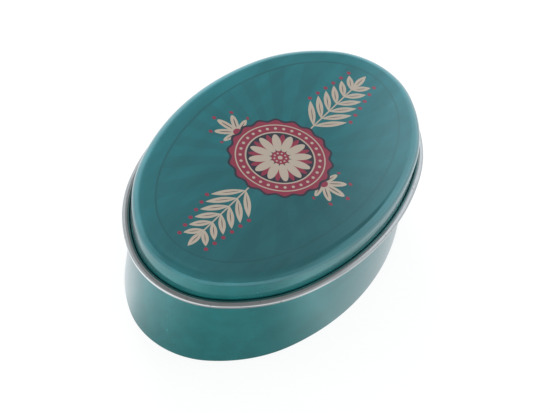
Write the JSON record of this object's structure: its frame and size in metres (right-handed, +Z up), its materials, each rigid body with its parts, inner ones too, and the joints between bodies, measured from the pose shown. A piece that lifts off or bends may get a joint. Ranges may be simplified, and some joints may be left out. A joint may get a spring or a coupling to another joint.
{
  "type": "oval tin box",
  "caption": "Oval printed tinplate box with a slip-over lid that lifts straight off, a rolled lid edge and a recessed bottom, for keeping small dry goods.",
  "frame": {"origin": "middle of the tin, on the surface that it stands on", "axes": "+X along the length of the oval, +Z up, the way the lid lifts"},
  "size_m": [0.15, 0.1, 0.05],
  "materials": {
    "printed_tin": "glossy varnished print on tinplate",
    "bare_tin": "bright rolled tinplate"
  },
  "bodies": {
    "case": {"body_wall": "printed_tin", "bottom_plate": "bare_tin"},
    "lid": {"lid": "printed_tin"}
  },
  "joints": [
    {"name": "lid_lift", "type": "slide", "parent": "case", "child": "lid", "axis": [0, 0, 1], "range_m": [0, 0.07]}
  ]
}
